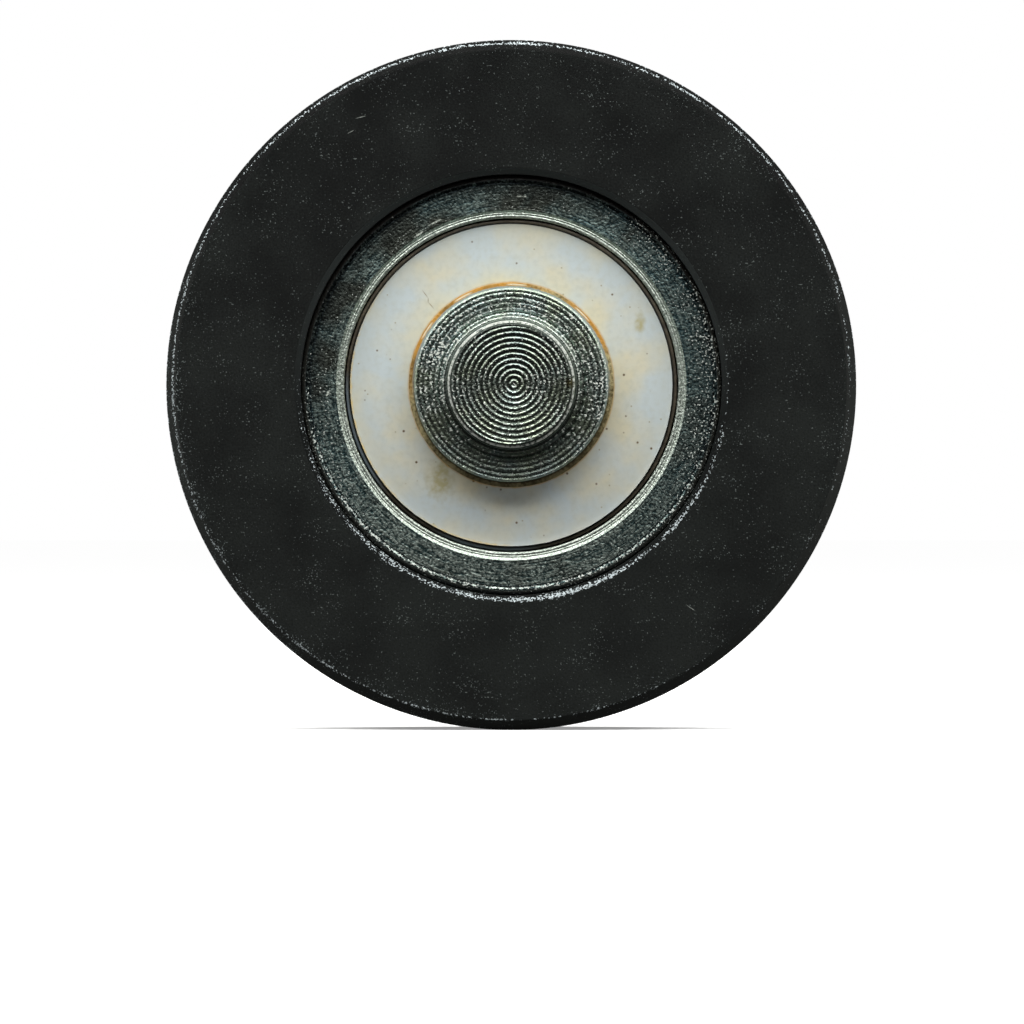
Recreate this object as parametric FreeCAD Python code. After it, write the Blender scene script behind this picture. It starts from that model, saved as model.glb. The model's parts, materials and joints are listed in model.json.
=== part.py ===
"""Screen door roller: a grooved steel wheel on a ball bearing, with a turned spindle whose ends fit the door's housing.

The origin is the wheel's centre. The spindle lies along Y, the front face looks along -Y, and +Z is up.
All sizes are in millimetres.
"""

import FreeCAD
import Part

import math
import os

from FreeCAD import Vector

# Driving dimensions: the wheel
INCH = 25.4
WHEEL_DIAMETER = 1.0 * INCH
WHEEL_WIDTH = 7 / 32 * INCH
RIM_CHAMFER = 0.37
GROOVE_RADIUS = 1.70
GROOVE_DEPTH = 1.39
BEARING_DIAMETER = 15.50
BORE_CHAMFER = 0.22

# Driving dimensions: the spindle
SHOULDER_DIAMETER = 9 / 32 * INCH
SHOULDER_PROUD = 0.33
SHOULDER_EDGE = 0.07
STUB_DIAMETER = 3 / 16 * INCH
STUB_LENGTH = 3 / 64 * INCH
STUB_CHAMFER = 0.20
STUB_ROOT_RADIUS = 0.10

# Driving dimensions: the bearing
BALL_DIAMETER = 1 / 8 * INCH
BALL_COUNT = 6
RACE_BORE_DIAMETER = 12.30
RACE_RECESS = 0.50
RACE_CORNER = 0.27
RACE_STEP = 0.03
RACE_STEP_WIDTH = 0.06
RACEWAY_CONFORMITY = 0.53
RUNNING_CLEARANCE = 0.03

# The rolled lip round the race's bore: two beads with a fine furrow outside each
LIP_BEAD_WIDTHS = (0.19, 0.15)
LIP_BEAD_RISE = 0.05
LIP_FURROW_DEPTH = 0.05
LIP_EDGE_DROP = 0.14

# Driving dimensions: the ball retainer, two identical halves pegged together between the balls
RETAINER_BORE_DIAMETER = 7.50
RETAINER_DIAMETER = 11.88
RETAINER_RECESS = 0.58
RETAINER_EDGE_RADIUS = 0.05
POCKET_CLEARANCE = 0.10
PEG_DIAMETER = 0.72
PEG_LENGTH = 0.55
SOCKET_PLAY = 0.03
SOCKET_SPARE_DEPTH = 0.10

# Worked out from the driving dimensions
wheel_radius = WHEEL_DIAMETER / 2
half_width = WHEEL_WIDTH / 2
bearing_radius = BEARING_DIAMETER / 2
shoulder_radius = SHOULDER_DIAMETER / 2
shoulder_face = half_width + SHOULDER_PROUD
stub_radius = STUB_DIAMETER / 2
stub_end = shoulder_face + STUB_LENGTH
ball_radius = BALL_DIAMETER / 2
race_bore_radius = RACE_BORE_DIAMETER / 2
race_face = half_width - RACE_RECESS
pitch_radius = (shoulder_radius + race_bore_radius) / 2
raceway_radius = RACEWAY_CONFORMITY * BALL_DIAMETER
retainer_face = half_width - RETAINER_RECESS

CENTRE = Vector(0, 0, 0)
SPINDLE_AXIS = Vector(0, 1, 0)
UP = Vector(0, 0, 1)


def place(point):
    """A (radius, distance along the spindle) pair as a point of the half-plane that is turned."""
    return Vector(point[0], point[1], 0)


def outline(start, *steps):
    """Edges from start. A step is a point, for a line, or a pair (point passed through, end point), for an arc."""
    edges = []
    here = start
    for step in steps:
        if isinstance(step[0], tuple):
            through, there = step
            edges.append(Part.Arc(place(here), place(through), place(there)).toShape())
        else:
            there = step
            edges.append(Part.makeLine(place(here), place(there)))
        here = there
    return edges


def turn(edges):
    """The solid that a closed outline sweeps round the spindle's axis."""
    wire = Part.Wire(Part.__sortEdges__(edges))
    solid = Part.Face(wire).revolve(CENTRE, SPINDLE_AXIS, 360)
    return solid.removeSplitter()


def both_sides(edges):
    """An outline's half on the +Y side of the wheel's mid-plane, with its mirror image."""
    return edges + [edge.mirror(CENTRE, SPINDLE_AXIS) for edge in edges]


def on_circle(centre_radius, arc_radius, angle):
    """The point at an angle, in radians from the outward direction, on an arc centred on the mid-plane."""
    return (centre_radius + arc_radius * math.cos(angle), arc_radius * math.sin(angle))


def round_corner(corner, radius, inward, along):
    """Start, middle and end of a quarter arc that rounds an outline's corner, turning from one way to the other.

    inward and along are the (radius, length) directions from the corner to the arc's start and end.
    """
    start = tuple(c + radius * d for c, d in zip(corner, inward))
    end = tuple(c + radius * d for c, d in zip(corner, along))
    centre = tuple(s + e - c for s, e, c in zip(start, end, corner))
    middle = tuple(m + (c - m) / math.sqrt(2) for m, c in zip(centre, corner))
    return start, (middle, end)


def make_wheel():
    """The tread wheel: chamfered rims on each side of a round groove that runs on the track's bead."""
    groove_centre = wheel_radius - GROOVE_DEPTH + GROOVE_RADIUS
    groove_edge = math.acos((wheel_radius - groove_centre) / GROOVE_RADIUS)
    half_way = (groove_edge + math.pi) / 2
    half = outline(
        on_circle(groove_centre, GROOVE_RADIUS, math.pi),
        (
            on_circle(groove_centre, GROOVE_RADIUS, half_way),
            on_circle(groove_centre, GROOVE_RADIUS, groove_edge),
        ),
        (wheel_radius, half_width - RIM_CHAMFER),
        (wheel_radius - RIM_CHAMFER, half_width),
        (bearing_radius + BORE_CHAMFER, half_width),
        (bearing_radius, half_width - BORE_CHAMFER),
        (bearing_radius, 0),
    )
    return turn(both_sides(half))


def make_outer_race():
    """The bearing's outer ring, pressed into the wheel: a raceway inside and a rolled lip at each end of its bore."""
    raceway_centre = pitch_radius + ball_radius + RUNNING_CLEARANCE - raceway_radius
    raceway_edge = math.acos((race_bore_radius - raceway_centre) / raceway_radius)
    corner_start, corner = round_corner((bearing_radius, race_face), RACE_CORNER, (0, -1), (-1, 0))
    outer_bead, inner_bead = LIP_BEAD_WIDTHS
    furrow = race_bore_radius + inner_bead
    lip = furrow + outer_bead
    flat = race_face - RACE_STEP
    half = outline(
        (bearing_radius, 0),
        corner_start,
        corner,
        (bearing_radius - RACE_CORNER - RACE_STEP_WIDTH, flat),
        (lip + LIP_FURROW_DEPTH, flat),
        (lip, race_face - LIP_FURROW_DEPTH),
        (
            (lip - outer_bead / 2, race_face - LIP_FURROW_DEPTH + LIP_BEAD_RISE),
            (furrow, race_face - LIP_FURROW_DEPTH),
        ),
        (
            (furrow - inner_bead / 2, race_face - LIP_FURROW_DEPTH),
            (race_bore_radius, race_face - LIP_EDGE_DROP),
        ),
        on_circle(raceway_centre, raceway_radius, raceway_edge),
        (
            on_circle(raceway_centre, raceway_radius, raceway_edge / 2),
            on_circle(raceway_centre, raceway_radius, 0),
        ),
    )
    return turn(both_sides(half))


def make_spindle():
    """The spindle, turned in one piece: a raceway between two shoulders, and a chamfered stub at each end."""
    raceway_centre = pitch_radius - ball_radius - RUNNING_CLEARANCE + raceway_radius
    raceway_edge = math.acos((shoulder_radius - raceway_centre) / raceway_radius)
    half_way = (raceway_edge + math.pi) / 2
    root_start, root = round_corner((stub_radius, shoulder_face), STUB_ROOT_RADIUS, (1, 0), (0, 1))
    half = outline(
        on_circle(raceway_centre, raceway_radius, math.pi),
        (
            on_circle(raceway_centre, raceway_radius, half_way),
            on_circle(raceway_centre, raceway_radius, raceway_edge),
        ),
        (shoulder_radius, shoulder_face - SHOULDER_EDGE),
        (shoulder_radius - SHOULDER_EDGE, shoulder_face),
        root_start,
        root,
        (stub_radius, stub_end - STUB_CHAMFER),
        (stub_radius - STUB_CHAMFER, stub_end),
        (0, stub_end),
        (0, 0),
    )
    return turn(both_sides(half))


def ball_centre(number):
    """The centre of a ball, counted from the one at the top."""
    angle = 2 * math.pi * number / BALL_COUNT
    return Vector(pitch_radius * math.sin(angle), 0, pitch_radius * math.cos(angle))


def make_ball(number):
    """One bearing ball, with its poles beside the raceways."""
    return Part.makeSphere(ball_radius, ball_centre(number), SPINDLE_AXIS)


def make_retainer_half():
    """The front half of the ball retainer: a ring with a half pocket for each ball, and pegs and sockets by turns."""
    bore = RETAINER_BORE_DIAMETER / 2
    rim = RETAINER_DIAMETER / 2
    rim_start, rim_round = round_corner((rim, -retainer_face), RETAINER_EDGE_RADIUS, (0, 1), (-1, 0))
    bore_start, bore_round = round_corner((bore, -retainer_face), RETAINER_EDGE_RADIUS, (1, 0), (0, 1))
    half = turn(outline((bore, 0), (rim, 0), rim_start, rim_round, bore_start, bore_round, (bore, 0)))
    pocket_radius = ball_radius + POCKET_CLEARANCE
    for number in range(BALL_COUNT):
        half = half.cut(Part.makeSphere(pocket_radius, ball_centre(number), SPINDLE_AXIS))
    for number in range(BALL_COUNT):
        web = ball_centre(number + 0.5)
        if number % 2 == 0:
            half = half.fuse(Part.makeCylinder(PEG_DIAMETER / 2, PEG_LENGTH, web, SPINDLE_AXIS))
        else:
            socket_radius = PEG_DIAMETER / 2 + SOCKET_PLAY
            socket_depth = PEG_LENGTH + SOCKET_SPARE_DEPTH
            half = half.cut(Part.makeCylinder(socket_radius, socket_depth, web, -SPINDLE_AXIS))
    return half.removeSplitter()


def turned_over(half):
    """A retainer half turned over, so that its pegs meet the other half's sockets."""
    other = half.copy()
    other.rotate(CENTRE, UP, 180)
    return other


def make_nodes():
    """Every piece by its name."""
    retainer_front = make_retainer_half()
    nodes = {
        "wheel": make_wheel(),
        "outer_race": make_outer_race(),
        "spindle": make_spindle(),
        "retainer_front": retainer_front,
        "retainer_rear": turned_over(retainer_front),
    }
    for number in range(BALL_COUNT):
        nodes[f"ball_{number + 1}"] = make_ball(number)
    return nodes


def main():
    os.makedirs("parts", exist_ok=True)
    for name, shape in make_nodes().items():
        shape.exportStep(f"parts/{name}.step")
        print(f"{name}: valid {shape.isValid()}, {len(shape.Solids)} solid, {shape.Volume:.2f} mm3")
    orbit = (pitch_radius + ball_radius) / (2 * pitch_radius)
    spin = (1 - orbit) * (pitch_radius + ball_radius) / ball_radius
    print(f"ball pitch radius {pitch_radius:.4f} mm, overall length {2 * stub_end:.3f} mm")
    print(f"for one turn of the wheel the retainer makes {orbit:.6f} and a ball {spin:.6f} turns in its pocket")


main()
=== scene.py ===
# %% [markdown]
# # A screen door roller, turned with numpy
#
# The roller carries a sliding screen door along its track. A grooved steel wheel is pressed round a small
# ball bearing, and the bearing's spindle ends in a stub on each side, which drops into the door's housing.
# Nearly every piece came off a lathe, so nearly every surface in this lesson is one outline carried round
# the spindle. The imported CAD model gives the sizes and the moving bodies, and this script gives the
# surfaces that the eye meets: tool marks, broken edges, rust, grime and the finish of each metal.

# %% Load the frame
import functools
import json

import bpy
import numpy as np
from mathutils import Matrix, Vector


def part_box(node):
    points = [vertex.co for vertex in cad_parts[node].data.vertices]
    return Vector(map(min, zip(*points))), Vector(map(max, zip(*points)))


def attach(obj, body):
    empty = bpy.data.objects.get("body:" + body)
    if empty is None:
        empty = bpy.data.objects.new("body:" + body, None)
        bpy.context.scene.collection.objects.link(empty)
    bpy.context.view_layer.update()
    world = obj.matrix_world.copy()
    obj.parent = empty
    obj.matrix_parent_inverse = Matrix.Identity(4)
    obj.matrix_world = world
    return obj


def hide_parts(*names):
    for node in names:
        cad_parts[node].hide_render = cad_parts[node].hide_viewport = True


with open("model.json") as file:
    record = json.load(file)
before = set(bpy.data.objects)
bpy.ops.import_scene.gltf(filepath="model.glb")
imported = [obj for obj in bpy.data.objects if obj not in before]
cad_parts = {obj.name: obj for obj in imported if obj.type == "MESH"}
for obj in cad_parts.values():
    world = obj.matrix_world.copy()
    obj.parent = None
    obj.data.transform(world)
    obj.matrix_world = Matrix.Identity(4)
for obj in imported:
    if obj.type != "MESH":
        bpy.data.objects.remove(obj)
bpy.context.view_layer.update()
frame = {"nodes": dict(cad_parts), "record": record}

# %% [markdown]
# ## Sizes
#
# A visual model that guesses its sizes drifts away from the part that it dresses. So the large sizes are
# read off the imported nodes, in millimetres from the wheel's centre, and only the small ones, such as
# chamfers, are written here, next to the piece that has them. The spindle lies along Y, and -Y is the
# front.

# %% Sizes from the frame
MM = 0.001


def reach(node):
    """How far a node goes from the wheel's centre along X and along Y, in mm."""
    low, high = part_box(node)
    return max(-low.x, high.x) / MM, max(-low.y, high.y) / MM


wheel_radius, half_width = reach("wheel")
bearing_radius, race_face = reach("outer_race")
shoulder_radius, stub_end = reach("spindle")
retainer_rim, retainer_face = reach("retainer_front")
ball_low, ball_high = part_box("ball_1")
ball_radius = (ball_high.y - ball_low.y) / 2 / MM
pitch_radius = ball_low.z / MM + ball_radius
mounts = {mount["name"]: mount for mount in frame["record"]["mounts"]}
stub_radius = mounts["axle_front"]["dims"]["r_mm"]
print(f"wheel {2 * wheel_radius:.2f} mm across and {2 * half_width:.2f} mm wide")
print(f"spindle {2 * stub_end:.2f} mm long, balls {2 * ball_radius:.3f} mm across")

# %% [markdown]
# ## Camera
#
# The photograph looks straight at the wheel's face, as a flatbed scanner does. A long lens a good way off
# comes near to that, and still lets the camera be moved round the part. The wheel's place and radius in the
# picture give the size of a pixel, and that gives the lens and the camera's place, with no shift.

# %% Camera
PHOTO_SIDE = 1024
WHEEL_IN_PHOTO = (511.25, 384.97)
WHEEL_RADIUS_IN_PHOTO = 345.03
CAMERA_DISTANCE = 300.0
RIM_CHAMFER = 0.37

pixel = wheel_radius / WHEEL_RADIUS_IN_PHOTO
camera_data = bpy.data.cameras.new("camera")
camera_data.lens = camera_data.sensor_width * CAMERA_DISTANCE / (PHOTO_SIDE * pixel)
camera = bpy.data.objects.new("camera", camera_data)
camera.location = (
    (PHOTO_SIDE / 2 - WHEEL_IN_PHOTO[0]) * pixel * MM,
    -(CAMERA_DISTANCE + half_width - RIM_CHAMFER) * MM,
    (WHEEL_IN_PHOTO[1] - PHOTO_SIDE / 2) * pixel * MM,
)
camera.rotation_euler = (np.pi / 2, 0, 0)
bpy.context.scene.collection.objects.link(camera)
bpy.context.scene.camera = camera
bpy.context.scene.view_settings.view_transform = "Standard"
print(f"lens {camera_data.lens:.0f} mm, one pixel is {pixel:.4f} mm")

# %% [markdown]
# ## Nodes and colours
#
# A material in Blender is a small graph. Building one in Python is mostly the same three moves again and
# again: make a node, set what it has, link what feeds it. One helper does all three. Colours are written as
# the sRGB hex values that a colour picker shows, and Blender's sockets want linear light, so one function
# converts them.

# %% Node and colour helpers
def linear(hex_colour):
    """An sRGB hex colour as linear RGBA: c / 12.92 for small c, else ((c + 0.055) / 1.055)^2.4."""
    c = np.array([int(hex_colour[i : i + 2], 16) for i in (1, 3, 5)]) / 255
    return (*np.where(c <= 0.04045, c / 12.92, ((c + 0.055) / 1.055) ** 2.4), 1.0)


def fed(value):
    """What a socket is given: a colour for a hex string, a node's first output in use, or the value."""
    if isinstance(value, bpy.types.Node):
        return next(output for output in value.outputs if output.enabled)
    return linear(value) if isinstance(value, str) else value


def add(tree, kind, inputs=(), **settings):
    """Adds a node of a kind, with its operation after a space, sets its settings, and feeds its inputs.

    The inputs are a row in the order of the node's sockets, or a dictionary by the sockets' names. The row
    of a MapRange is the value, the two ends that it comes from and the two that it goes to. A Mix that is
    given a colour mixes colours.
    """
    kind, *operation = kind.split()
    named = inputs if isinstance(inputs, dict) else dict(enumerate(inputs))
    values = {key: fed(value) for key, value in named.items()}
    if operation:
        settings["operation"] = operation[0]
    colours = [v for v in values.values() if isinstance(v, tuple) or getattr(v, "type", "") == "RGBA"]
    if kind == "Mix" and colours:
        settings["data_type"] = "RGBA"
    node = tree.nodes.new("ShaderNode" + kind)
    for name, value in settings.items():
        setattr(node, name, value)
    sockets = [socket for socket in node.inputs if socket.enabled]
    for key, value in values.items():
        socket = sockets[key] if isinstance(key, int) else next(s for s in sockets if s.name == key)
        if isinstance(value, bpy.types.NodeSocket):
            tree.links.new(value, socket)
        else:
            socket.default_value = value
    return node


def emptied(owner):
    """The function that adds nodes to a material or a world, whose own nodes are taken out."""
    owner.use_nodes = True
    owner.node_tree.nodes.clear()
    return functools.partial(add, owner.node_tree)


def new_material(name):
    """An empty material and the function that adds nodes to it."""
    material = bpy.data.materials.new(name)
    return material, emptied(material)


print("a mid grey of #808080 is", round(float(linear("#808080")[0]), 3), "in linear light")

# %% [markdown]
# ## Studio
#
# The photograph was lit as a scanner lights: one long bright bar beyond the picture's upper edge, and
# darkness all round the metal. The floor and the world are plain white to the camera, and to rays from
# metal, by Light Path, while the light that they give stays low, so that the spindle keeps its deep shadow
# on the nylon.

# %% World and floor
AMBIENT = 0.045
FLOOR_SIDE = 4000.0
NEAR_GLOW, FAR_GLOW = 0.3, 0.95
GLOW_NEAR, GLOW_FAR = 40.0, 300.0


def seen(node):
    """1 for rays from the camera, a mirror or glass, which see the background, and 0 for light."""
    path = node("LightPath").outputs
    shown = node("Math MAXIMUM", (path["Is Camera Ray"], path["Is Glossy Ray"]))
    return node("Math MAXIMUM", (shown, path["Is Transmission Ray"]))


def from_centre(node):
    """A place's distance from the sheet's own origin, in metres."""
    return node("VectorMath LENGTH", (node("TexCoord").outputs["Object"],)).outputs["Value"]


def stage_sheet(name, points, faces, material):
    """A sheet through points in mm."""
    mesh = bpy.data.meshes.new(name)
    mesh.from_pydata((points * MM).tolist(), [], faces.tolist())
    mesh.materials.append(material)
    sheet = bpy.data.objects.new(name, mesh)
    bpy.context.scene.collection.objects.link(sheet)
    return sheet


world = bpy.data.worlds.new("white_studio")
bpy.context.scene.world = world
node = emptied(world)
level = node("MapRange", (seen(node), 0, 1, AMBIENT, 1))
node("OutputWorld", {"Surface": node("Background", ("#ffffff", level))})

floor_paint, node = new_material("pale_studio_floor")
shown = seen(node)
matt = node("BsdfDiffuse", {"Color": node("Mix", (shown, "#6a6a6a", "#e6e6e4"))})
glow = node("MapRange", (from_centre(node), GLOW_NEAR * MM, GLOW_FAR * MM, NEAR_GLOW, FAR_GLOW))
glowing = node("Emission", ("#ffffff", node("Math MULTIPLY", (shown, glow))))
node("OutputMaterial", {"Surface": node("AddShader", (matt, glowing))})
corners = np.array([(-1, -1, 0), (1, -1, 0), (1, 1, 0), (-1, 1, 0)]) * FLOOR_SIDE / 2
stage_sheet("studio_floor", corners - (0, 0, wheel_radius), np.array([[0, 1, 2, 3]]), floor_paint)
print("a white world and a floor")

# %% [markdown]
# A photographer keeps flat metal dark with black flags. Here a low dark collar stands round the roller,
# high in front and behind and dipping at the sides, and a dark mat lies under it, a little paler right
# under the wheel. The two are one sheet, along the floor and then up, round the upright axis. Only
# reflections see it.

# %% Mat and collar
COLLAR_STEPS = 64
COLLAR_RADIUS = 110.0
COLLAR_HIGH, COLLAR_LOW = 45.0, 12.0
MAT_HOLE = 0.5
MAT_LIFT = 0.01
UNDER_GLOW, CARD_GLOW = 0.16, 0.03
UNDER_NEAR, UNDER_FAR = 13.5, 20.0

card_paint, node = new_material("dark_card")
glow = node("MapRange", (from_centre(node), UNDER_NEAR * MM, UNDER_FAR * MM, UNDER_GLOW, CARD_GLOW))
node("OutputMaterial", {"Surface": node("Emission", ("#ffffff", glow))})
turn = np.arange(COLLAR_STEPS) * 2 * np.pi / COLLAR_STEPS
across = np.array([[MAT_HOLE], [COLLAR_RADIUS], [COLLAR_RADIUS]])
top = COLLAR_LOW + (COLLAR_HIGH - COLLAR_LOW) * np.cos(turn) ** 2
mat = 0 * turn + MAT_LIFT - wheel_radius
up = np.stack([mat, mat, top])
points = np.stack([across * np.sin(turn), across * np.cos(turn), up], axis=-1).reshape(-1, 3)
row, column = np.indices((2, COLLAR_STEPS)).reshape(2, -1)
left, right = row * COLLAR_STEPS + column, row * COLLAR_STEPS + (column + 1) % COLLAR_STEPS
collar_faces = np.stack([left, right, right + COLLAR_STEPS, left + COLLAR_STEPS], axis=-1)
collar = stage_sheet("dark_collar", points, collar_faces, card_paint)
collar.visible_camera = False
collar.visible_diffuse = False
collar.visible_shadow = False
collar.visible_transmission = False
print("a dark collar of", len(collar_faces), "faces")

# %% [markdown]
# A wide area lamp in front and above is the scanner's bar, 60 degrees from the camera's view. Low light
# like that draws every ring of a turned face. A second lamp does the same for the back.

# %% Lamps
LAMP_WIDTH, LAMP_HEIGHT = 480.0, 110.0
LAMP_POWER = 1.08
LAMP_OUT, LAMP_UP = 100.0, 173.0

for name, out in (("bar_lamp", -LAMP_OUT), ("back_lamp", LAMP_OUT)):
    data = bpy.data.lights.new(name, "AREA")
    data.shape = "RECTANGLE"
    data.size = LAMP_WIDTH * MM
    data.size_y = LAMP_HEIGHT * MM
    data.energy = LAMP_POWER
    light = bpy.data.objects.new(name, data)
    light.location = (0, out * MM, LAMP_UP * MM)
    light.rotation_euler = (-light.location).to_track_quat("-Z", "Y").to_euler()
    light.visible_camera = False
    bpy.context.scene.collection.objects.link(light)
print("two bar lamps")

# %% [markdown]
# ## Outlines
#
# An outline is a row of complex numbers: the real part is the distance from the spindle's axis, and the
# imaginary part is the distance along it. Then a line, an arc and a mirror image are each one short formula
# on a whole array. Real edges are never perfectly sharp, and a broken edge catches the light, so the last
# helper averages an outline over a short length. That leaves straight runs where they are and rounds every
# corner.

# %% Outline helpers
FINE_STEPS = 60


def runs(corners, counts):
    """Straight runs between corners, a + (b - a) (1 - cos(pi t)) / 2, so that points crowd at corners."""
    pieces = [
        start + (end - start) * (1 - np.cos(np.pi * np.arange(count) / count)) / 2
        for start, end, count in zip(corners, corners[1:], counts)
    ]
    return np.concatenate([*pieces, corners[-1:]])


def arc(centre, radius, first, last, count):
    """Points of a circle, centre + radius (cos a + i sin a), with a going evenly from first to last."""
    return centre + radius * np.exp(1j * np.linspace(first, last, count))


def arc_through(start, middle, end, count):
    """Points of the circle through three points, evenly from start to end.

    With u and v as middle and end seen from start, the centre is start + i (|v|^2 u - |u|^2 v) / (2 u x v).
    """
    u, v = middle - start, end - start
    centre = start + 1j * (abs(v) ** 2 * u - abs(u) ** 2 * v) / (2 * (np.conj(u) * v).imag)
    first = np.angle(start - centre)
    sweep = np.angle((end - centre) / (start - centre))
    return arc(centre, abs(start - centre), first, first + sweep, count)


def both_sides(half):
    """A closed outline from its half on the +Y side of the mid-plane and the mirror image of that."""
    return np.concatenate([half, np.conj(half[::-1])[1:-1]])


def broken_edges(outline, width, closed=True):
    """An outline whose every point is the mean of the outline within width of it, measured along its length.

    The mean is the difference of the outline's running sum at s + width and s - width, over their distance.
    A closed outline goes on at its start, and an open one as its mirror image across the axis.
    """
    beyond = outline if closed else -np.conj(outline[::-1])
    path = np.concatenate([beyond, outline, beyond])
    length = np.concatenate([[0], np.cumsum(np.abs(np.diff(path)))])
    fine = np.linspace(0, length[-1], FINE_STEPS * len(path))
    dense = np.interp(fine, length, path.real) + 1j * np.interp(fine, length, path.imag)
    total = np.concatenate([[0], np.cumsum((dense[1:] + dense[:-1]) / 2)]) * (fine[1] - fine[0])
    here = length[len(beyond) : len(beyond) + len(outline)]
    start, end = here - width, here + width
    gain = np.interp(end, fine, total.real) + 1j * np.interp(end, fine, total.imag)
    return (gain - np.interp(start, fine, total.real) - 1j * np.interp(start, fine, total.imag)) / (2 * width)


print("outline helpers ready")

# %% [markdown]
# ## Turning
#
# A lathe turns the work and the tool draws the outline. The function below does the same with arrays: one
# axis of the grid is the outline and the other is the angle round the spindle. A screw modifier could do
# that too, but the array also lets every point be moved along its own normal, and that gives tool marks,
# nicks and lumps in the geometry. The same function notes where the outline bends outwards, because those
# are the edges that wear bright, and the materials read that note as the attribute wear.

# %% Marks of a lathe
def within(value, low, high, soft):
    """1 where value is between low and high, falling to 0 over the length soft inside each end."""
    return np.clip((value - low) / soft, 0, 1) * np.clip((high - value) / soft, 0, 1)


def hump(distance, width):
    """1 at a distance of 0, and exp(-(distance / width)^2) elsewhere."""
    return np.exp(-((distance / width) ** 2))


def feed_marks(distance, pitch, depth, lean=0.35):
    """Tool furrows: depth ((1 - cos q) / 2 - 1), where q = p - lean (1 - cos p) and p counts the pitches.

    A ridge rises slowly and falls fast. Its crest is the true surface, and its furrow lies depth below.
    """
    p = 2 * np.pi * distance / pitch
    return depth * ((1 - np.cos(p - lean * (1 - np.cos(p)))) / 2 - 1)


def uneven(distance, spacing, seed):
    """A random level from 0 to 1 every spacing along a distance, with straight lines between."""
    levels = np.random.default_rng(seed).random(256)
    return np.interp(np.abs(distance) / spacing, np.arange(256), levels)


def wobble(angle, seed, waves):
    """A closed random curve round the axis: the sum over k of cos(k a + phase) / sqrt(k), scaled to 1."""
    k = np.arange(1, waves + 1)
    phase = np.random.default_rng(seed).random(waves) * 2 * np.pi
    turns = np.multiply.outer(angle, k) + phase
    curve = np.cos(turns) @ (1 / np.sqrt(k))
    return curve / np.abs(curve).max()


print("one feed mark, at five places:", feed_marks(np.linspace(0, 1, 5), 1.0, 1.0).round(2))

# %% [markdown]
# A row of the grid that lies on the axis is one point, or a pole would hide a bunch of flat faces. So an
# open outline's first and last rows shrink to a point each, with a fan of triangles round it.

# %% Turning
WEAR_SPREAD = 0.055


def turned(name, body, outline, steps, marks, rub=None, closed=True):
    """A piece turned about the spindle: an outline point r + iy at the angle a is (r sin a, y, r cos a).

    marks gives how far the skin stands along its normal, the outline's direction times -i. Three attributes
    say more. wear is the sum over all outward bends of their angle times exp(-(distance / WEAR_SPREAD)^2),
    plus rub. facing is 1 on skin that is square to the spindle and 0 on its round sides. sunk is the marks'
    depth in mm. An open outline starts and ends on the axis, where its whole row is one point.
    """
    before, after = np.roll(outline, 1), np.roll(outline, -1)
    if not closed:
        before[0], after[-1] = -np.conj(outline[1]), -np.conj(outline[-2])
    normal = -1j * (after - before) / np.abs(after - before)
    bend = np.clip(np.angle((after - outline) / (outline - before)), 0, None)
    length = np.cumsum(np.abs(outline - before))
    wear = hump(length[:, None] - length, WEAR_SPREAD) @ bend
    angle = np.arange(steps) * 2 * np.pi / steps
    radius, along = outline.real[:, None], outline.imag[:, None]
    stand = marks(radius, along, angle) + 0 * angle
    skin = outline[:, None] + normal[:, None] * stand
    wear = wear[:, None] + (0 if rub is None else rub(radius, along, angle))
    facing = np.abs(normal.imag)[:, None]
    notes = {"wear": wear + 0 * angle, "facing": facing + 0 * angle, "sunk": -stand}
    place = skin.real * np.sin(angle), skin.imag, skin.real * np.cos(angle)
    points = np.stack([*place, *notes.values()], axis=-1)
    rows = len(outline)
    grid = np.arange(rows * steps).reshape(rows, steps)
    if closed:
        points = points.reshape(rows * steps, -1)
    else:
        grid = np.clip(grid - (steps - 1), 0, (rows - 2) * steps + 1)
        points = np.concatenate([points[0, :1], *points[1:-1], points[-1, :1]])
    right = np.roll(grid, -1, axis=1)
    quads = np.stack([grid, right, np.roll(right, -1, axis=0), np.roll(grid, -1, axis=0)], axis=-1)
    if closed:
        faces = quads.reshape(-1, 4).tolist()
    else:
        fans = quads[0][:, [0, 2, 3]].tolist() + quads[-2][:, :3].tolist()
        faces = quads[1:-2].reshape(-1, 4).tolist() + fans
    mesh = bpy.data.meshes.new(name)
    mesh.from_pydata((points[:, :3] * MM).tolist(), [], faces)
    mesh.shade_smooth()
    for note, values in zip(notes, points[:, 3:].T.astype(np.float32)):
        mesh.attributes.new(note, "FLOAT", "POINT").data.foreach_set("value", np.ascontiguousarray(values))
    piece = bpy.data.objects.new(name, mesh)
    bpy.context.scene.collection.objects.link(piece)
    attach(piece, body)
    triangles = sum(len(face) - 2 for face in faces)
    print(f"{name}: {len(points)} points, {triangles} triangles, rides on {body}")
    return piece


# %% [markdown]
# ## Wheel
#
# The wheel is a disc of steel with a round groove that runs on the track's bead. Its outline is the
# groove's arc, a narrow land beside it, a chamfer, the flat face, and the chamfer of the bore that holds
# the bearing. The lands keep the lathe's coarse feed marks, whose crests are rubbed bright by the track,
# and the edges have small nicks. They are too shallow to change the silhouette, and are only ever cut into
# the true size.

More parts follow.
